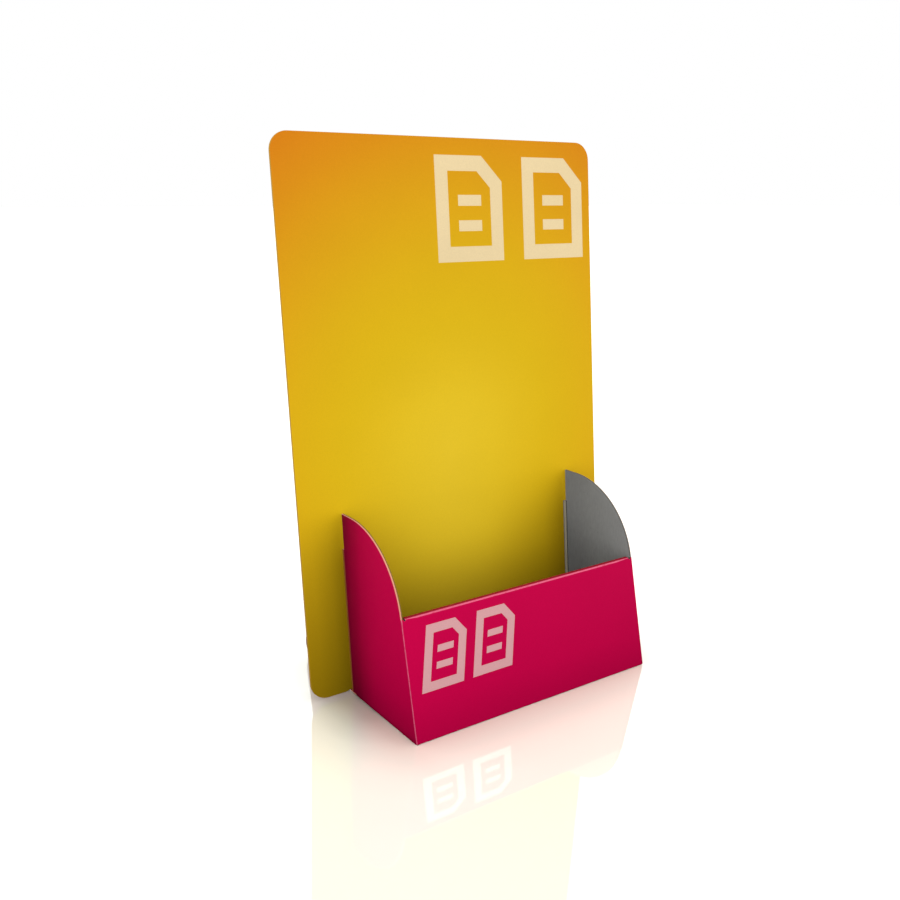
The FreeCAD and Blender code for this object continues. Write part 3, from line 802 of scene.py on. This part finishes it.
def foldEdges(bm, look):    # the two folds' outside edges, and the creases over the top and at the floor
    half, slope, close = look["width"] / 2 * mm, tan(radians(look["wallLean"])), 0.03 * mm
    top, hem, front = look["frontHeight"] * mm, look["hemWidth"] * mm, look["frontEdge"] * mm
    shortFold, shortCrease = 20 * mm, 100 * mm
    liningFoot = front + hem - look["board"] * mm / cos(radians(look["wallLean"]))
    creaseLines = [(front + top * slope, top), (front + top * slope + hem, top), (liningFoot, 0)]

    def onFold(edge):
        return all(abs(abs(vert.co.x) - half) < close and abs(vert.co.y - front - vert.co.z * slope) < close
                   for vert in edge.verts)

    def onLine(edge, y, z):
        return all(abs(vert.co.y - y) < close and abs(vert.co.z - z) < close for vert in edge.verts)

    folds, creases = [], []
    for edge in bm.edges:
        first, last = (vert.co.x for vert in edge.verts)
        if first * last > 0 and edge.calc_length() > shortFold and onFold(edge):
            folds.append(edge)
        if abs(first - last) > shortCrease and any(onLine(edge, *line) for line in creaseLines):
            creases.append(edge)
    return folds, creases


def bendFolds(bm, edges, radius, segments, crackWidth, crackSlot):    # the middle of each bend is cracked
    ridges = []
    for edge in edges:
        first, last = (vert.co.copy() for vert in edge.verts)
        turn = edge.calc_face_angle()
        outward = sum((face.normal for face in edge.link_faces), Vector()).normalized()
        centre = first - outward * (radius * mm / cos(turn / 2))
        ridges.append((centre, (last - first).normalized(), outward, radius * tan(turn / 2)))
    bent = set()
    for edge, (centre, along, outward, offset) in zip(edges, ridges):
        strips = bevelEdges(bm, [edge], offset, segments)
        for face in strips:
            spoke = face.calc_center_median() - centre
            spoke -= along * spoke.dot(along)
            if spoke.angle(outward) * radius < crackWidth / 2:
                face.material_index = crackSlot
        bent |= set(strips)
    return bent


def scoreSides(bm, look, panel, slots):    # a line down each side in front of the panel, worn behind it, where the outer strip is also darkened as painted shade
    up, away = panelWays(panel)
    foot = Vector(panel["foot"]) * mm
    crossing = foot + up * look["crossing"] * mm
    largeFace, onScore = 1e-3, 4 * touching    # square metres, metres
    for side in [face for face in bm.faces if abs(face.normal.x) > 0.99 and face.calc_area() > largeFace]:
        isOutward = side.material_index == slots["ink"]
        distance, width, depth = look["scoreOutside" if isOutward else "scoreInside"]
        score, half = foot - away * distance * mm, width / 2 * mm
        start, stop, wornTo = score - away * half, score + away * half, foot + away * look["scoreBeyond"] * mm
        inward = copysign(depth * mm, side.calc_center_median().x) * (-1 if isOutward else 1)
        faces = [side]
        for point in (start, score, stop, wornTo):
            faces = cutFace(bm, faces, point, away)
        for top in (crossing - up * look["scoreTaper"] * mm, crossing):
            strip = [face for face in faces if isBetween(face, start, wornTo, away)]
            faces = [face for face in faces if face not in strip] + cutFace(bm, strip, top, up)
        for face in faces:
            if (face.calc_center_median() - crossing).dot(up) < 0:
                if isBetween(face, stop, wornTo, away):
                    face.material_index = slots["score" if isOutward else "strip"]
                elif isBetween(face, start, stop, away) and not isOutward:
                    face.material_index = slots["groove"]
        for vert in {vert for face in faces for vert in face.verts}:
            isDeep = (vert.co - crossing).dot(up) < -look["scoreTaper"] / 2 * mm
            if isDeep and abs((vert.co - score).dot(away)) < onScore:
                vert.co.x += inward


def drawEdges(bm, look, slots):    # the print's edge is drawn over part of the sides' cut edges; on the left the rest is olive painted bounce light and shade
    for across, within in look["drawnOver"]:
        sideways = copysign(1, across)
        rims = [face for face in bm.faces if face.material_index == slots["core"]
                and face.calc_center_median().x * sideways > look["rimsBeyond"] * mm]
        for face in cutFace(bm, rims, Vector((across, 0, 0)) * mm, (1, 0, 0)):
            isDrawn = face.calc_center_median().x * sideways > abs(across) * mm
            face.material_index = slots["edge" if isDrawn else within]


def between(value, low, high):
    return min(max((value - low) / (high - low), 0), 1)


def spreadSides(bm, look):    # the folds spring open a little
    slope = tan(radians(look["wallLean"]))
    for vert in bm.verts:
        across, along, up = vert.co / mm
        behind = between(along - look["frontEdge"] - up * slope, 0, look["spreadReach"])
        if across < look["leftFrom"]:
            vert.co.x -= look["leftSpread"] * behind * mm
            vert.co.z += look["leftLift"] * behind * (1 - between(up, 0, 1)) * mm
        upperFront = between(up, 0, look["frontHeight"]) * (1 - behind)
        vert.co.x += look["rightSpread"] * between(across, *look["rightReach"]) * upperFront * mm


def isOutside(edge, look):    # an edge of the two sides' outer faces, above the ground
    half, lowest = (look["width"] / 2 - 0.03) * mm, look["wornAbove"] * mm
    return all(abs(vert.co.x) > half and vert.co.z > lowest for vert in edge.verts)


def finishPocket(look, panel):
    slots = pocketSlots
    others = [pocketEdge, pocketCrease, pocketHem, pocketStrip, pocketScoreAndShade, pocketGrooveShade, pocketLipBounceShade]
    piece, bm = makeBoard("pocketSheet", buildPocket(look, panel), look["board"], [pocketInk, pocketMark],
                          liningBoard, pocketCoreShaded, others)
    for face in bm.faces:
        if face.material_index == slots["ink"] and face.normal.z > 0.9:
            face.material_index = slots["hem"]
    folds, creases = foldEdges(bm, look)
    rounded = bendFolds(bm, folds, look["foldRadius"], look["foldSteps"], look["foldCrack"], slots["crease"])
    rounded |= bendFolds(bm, creases, look["hemRadius"], look["hemSteps"], look["hemCrack"], slots["crease"])
    outside = [edge for edge in bm.edges if isOutside(edge, look)]
    worn = [edge for edge in outside if facesMeet(edge, [slots["ink"]], slots["core"])]
    for face in bevelEdges(bm, worn, look["edgeWear"], 1):
        face.material_index = slots["edge"]
    scoreSides(bm, look, panel, slots)
    drawEdges(bm, look, slots)
    spreadSides(bm, look)
    bmesh.ops.translate(bm, verts=bm.verts, vec=(look["seated"] * mm, 0, 0))
    rounded |= {face for face in bm.faces if face.material_index in (slots["core"], slots["edge"])}
    finishPiece(piece, bm, "pocket", rounded)
    return piece


pocketSheet = finishPocket(pocketLook, panelLook)
print("pocket made")


# Floor, background and lamps

studioLook = {
    "floorReach": 40,        # metres
    "floorDrop": 0.05,       # the floor lies this far below the part
    "floorWhite": (0.935, 0.92, 0.803),
    "floorClouds": 40,       # per metre
    "floorGrain": 0.003,
    "floorBounce": (0.85, 0.05),         # far from the part, and near it
    "floorBounceReach": (0.55, 0.5),     # metres
    "floorBounceLeast": 0.7,             # it is at its lowest from this share of the way in
    "floorContact": [        # painted shadow, darker close to the sides; the distance is from a rectangle of half widths
        (0, 0.58), (3, 0.71), (8, 0.75), (14, 0.84), (22, 0.93), (34, 1.0),
    ],
    "floorContactSize": (79.8, 20),
    "floorPaintedShade": [           # painted shade on the floor, darker close to the pocket and paling away from it
        (6, 0.75), (13, 0.81), (19, 0.865), (25, 0.915), (31, 0.96), (38, 0.985), (50, 1.0),
    ],
    "floorPaintedShadeSize": (79.8, 58),
    "floorClear": (12, 22),  # neither of them behind the panel
    # painted pink bounce from the pocket on the floor close to it
    "floorPaintedBounce": (1.1, 1, 1),
    "floorPaintedBounceReach": (6, 19),
    "floorGloss": 0.45,
    "floorGlossBlur": 0.03,
    "domeLow": 1.03,         # light from all round, and how much more comes from the front
    "domeFront": 0.3,
    "domeFrontFrom": (0.1, -0.93, 0.35),
    "keyPlace": (-0.3, -1.6, 1.5),
    "keyAim": (0, 0, 0.12),
    "keySize": 1.6,
    "keyPower": 2,
}


def distanceFrom(tree, place, sizes):    # on the floor, from a rectangle of these half widths
    squares = []
    where = splitPlace(tree, place)
    for axis, size in zip("XY", sizes):
        beyond = joinValues(tree, "SUBTRACT", joinValues(tree, "ABSOLUTE", where[axis]), size * mm)
        squares.append(joinValues(tree, "POWER", joinValues(tree, "MAXIMUM", beyond, 0.0), 2))
    return joinValues(tree, "SQRT", joinValues(tree, "ADD", *squares))


def floorColour(tree, place, look):    # white, with painted shadow and a painted pink bounce close to the pocket
    cloud = addNoise(tree, place, look["floorClouds"], 2)
    grain = vary(tree, cloud, 1 - look["floorGrain"], 1 + look["floorGrain"])
    white = shadeBy(tree, (*look["floorWhite"], 1), grain)
    around = distanceFrom(tree, place, look["floorPaintedShadeSize"])
    isOff = reachAlong(tree, around, look["floorPaintedBounceReach"])
    paintedBounce = mixColour(tree, isOff, (*look["floorPaintedBounce"], 1), plainWhite)
    # painted shadow and painted shade on the floor around the pocket
    beside = distanceFrom(tree, place, look["floorContactSize"])
    shaded = shadeBy(tree, white, rampAlong(tree, beside, look["floorContact"]))
    shaded = shadeBy(tree, shaded, rampAlong(tree, around, look["floorPaintedShade"]))
    shaded = mixColour(tree, 1.0, shaded, paintedBounce, "MULTIPLY")
    isBehind = reachAlong(tree, splitPlace(tree, place)["Y"], look["floorClear"])
    return mixColour(tree, isBehind, shaded, white)


def bounceColour(tree, place, look):    # what the floor throws back on the part, low close to it
    near = tree.nodes.new("ShaderNodeTexGradient")
    near.gradient_type = "SPHERICAL"
    reach, least = look["floorBounceReach"], look["floorBounceLeast"]
    tree.links.new(stretchPlace(tree, place, (1 / reach[0], 1 / reach[1], 0)), near.inputs["Vector"])
    amount = remap(tree, near.outputs["Fac"], 0, least, *look["floorBounce"], smooth=True)
    return shadeBy(tree, plainWhite, amount)


def floorFinish(look):    # what the camera sees is apart from what the floor throws back on the part
    finish, tree, shader, place = newFinish("floor")
    tree.nodes.remove(shader)
    nodes, links = tree.nodes, tree.links
    seen, bounce = nodes.new("ShaderNodeBsdfDiffuse"), nodes.new("ShaderNodeBsdfDiffuse")
    links.new(floorColour(tree, place, look), seen.inputs["Color"])
    links.new(bounceColour(tree, place, look), bounce.inputs["Color"])
    gloss = nodes.new("ShaderNodeBsdfGlossy")
    gloss.inputs["Color"].default_value = (look["floorGloss"],) * 3 + (1,)
    gloss.inputs["Roughness"].default_value = look["floorGlossBlur"]
    joined, choice = nodes.new("ShaderNodeAddShader"), nodes.new("ShaderNodeMixShader")
    links.new(seen.outputs["BSDF"], joined.inputs[0])
    links.new(gloss.outputs["BSDF"], joined.inputs[1])
    light = nodes.new("ShaderNodeLightPath")
    links.new(light.outputs["Is Camera Ray"], choice.inputs["Fac"])
    links.new(bounce.outputs["BSDF"], choice.inputs[1])
    links.new(joined.outputs["Shader"], choice.inputs[2])
    links.new(choice.outputs["Shader"], nodes["Material Output"].inputs["Surface"])
    return finish


def buildFloor(look):
    bm = bmesh.new()
    bmesh.ops.create_grid(bm, x_segments=1, y_segments=1, size=look["floorReach"])
    bmesh.ops.translate(bm, verts=bm.verts, vec=(0, 0, -look["floorDrop"] * mm))
    mesh = bpy.data.meshes.new("floor")
    bm.to_mesh(mesh)
    bm.free()
    floor = bpy.data.objects.new("floor", mesh)
    bpy.context.scene.collection.objects.link(floor)
    mesh.materials.append(floorFinish(look))


def buildDome(look):    # plain white where it is seen or mirrored; its light is stronger from the front
    world = bpy.data.worlds.new("studio")
    bpy.context.scene.world = world
    world.use_nodes = True
    tree = world.node_tree
    dome, white = tree.nodes["Background"], tree.nodes.new("ShaderNodeBackground")
    for background in (dome, white):
        background.inputs["Color"].default_value = plainWhite
    towards = tree.nodes.new("ShaderNodeVectorMath")
    towards.operation = "DOT_PRODUCT"
    towards.inputs[1].default_value = Vector(look["domeFrontFrom"]).normalized()
    tree.links.new(tree.nodes.new("ShaderNodeTexCoord").outputs["Generated"], towards.inputs[0])
    low = look["domeLow"]
    strength = remap(tree, towards.outputs["Value"], 0, 1, low, low + look["domeFront"])
    tree.links.new(strength, dome.inputs["Strength"])
    light, choice = tree.nodes.new("ShaderNodeLightPath").outputs, tree.nodes.new("ShaderNodeMixShader")
    isSeen = joinValues(tree, "MAXIMUM", light["Is Camera Ray"], light["Is Glossy Ray"])
    isSeen = joinValues(tree, "MAXIMUM", isSeen, light["Is Transmission Ray"])
    tree.links.new(isSeen, choice.inputs["Fac"])
    tree.links.new(dome.outputs["Background"], choice.inputs[1])
    tree.links.new(white.outputs["Background"], choice.inputs[2])
    tree.links.new(choice.outputs["Shader"], tree.nodes["World Output"].inputs["Surface"])


def buildKey(look):
    key = bpy.data.lights.new("key", "AREA")
    key.size = look["keySize"]
    key.energy = look["keyPower"]
    lamp = bpy.data.objects.new("key", key)
    bpy.context.scene.collection.objects.link(lamp)
    lamp.location = look["keyPlace"]
    lamp.rotation_euler = (Vector(look["keyAim"]) - lamp.location).to_track_quat("-Z", "Y").to_euler()


buildFloor(studioLook)
buildDome(studioLook)
buildKey(studioLook)
bpy.context.scene.view_settings.view_transform = "Standard"
print("studio set")
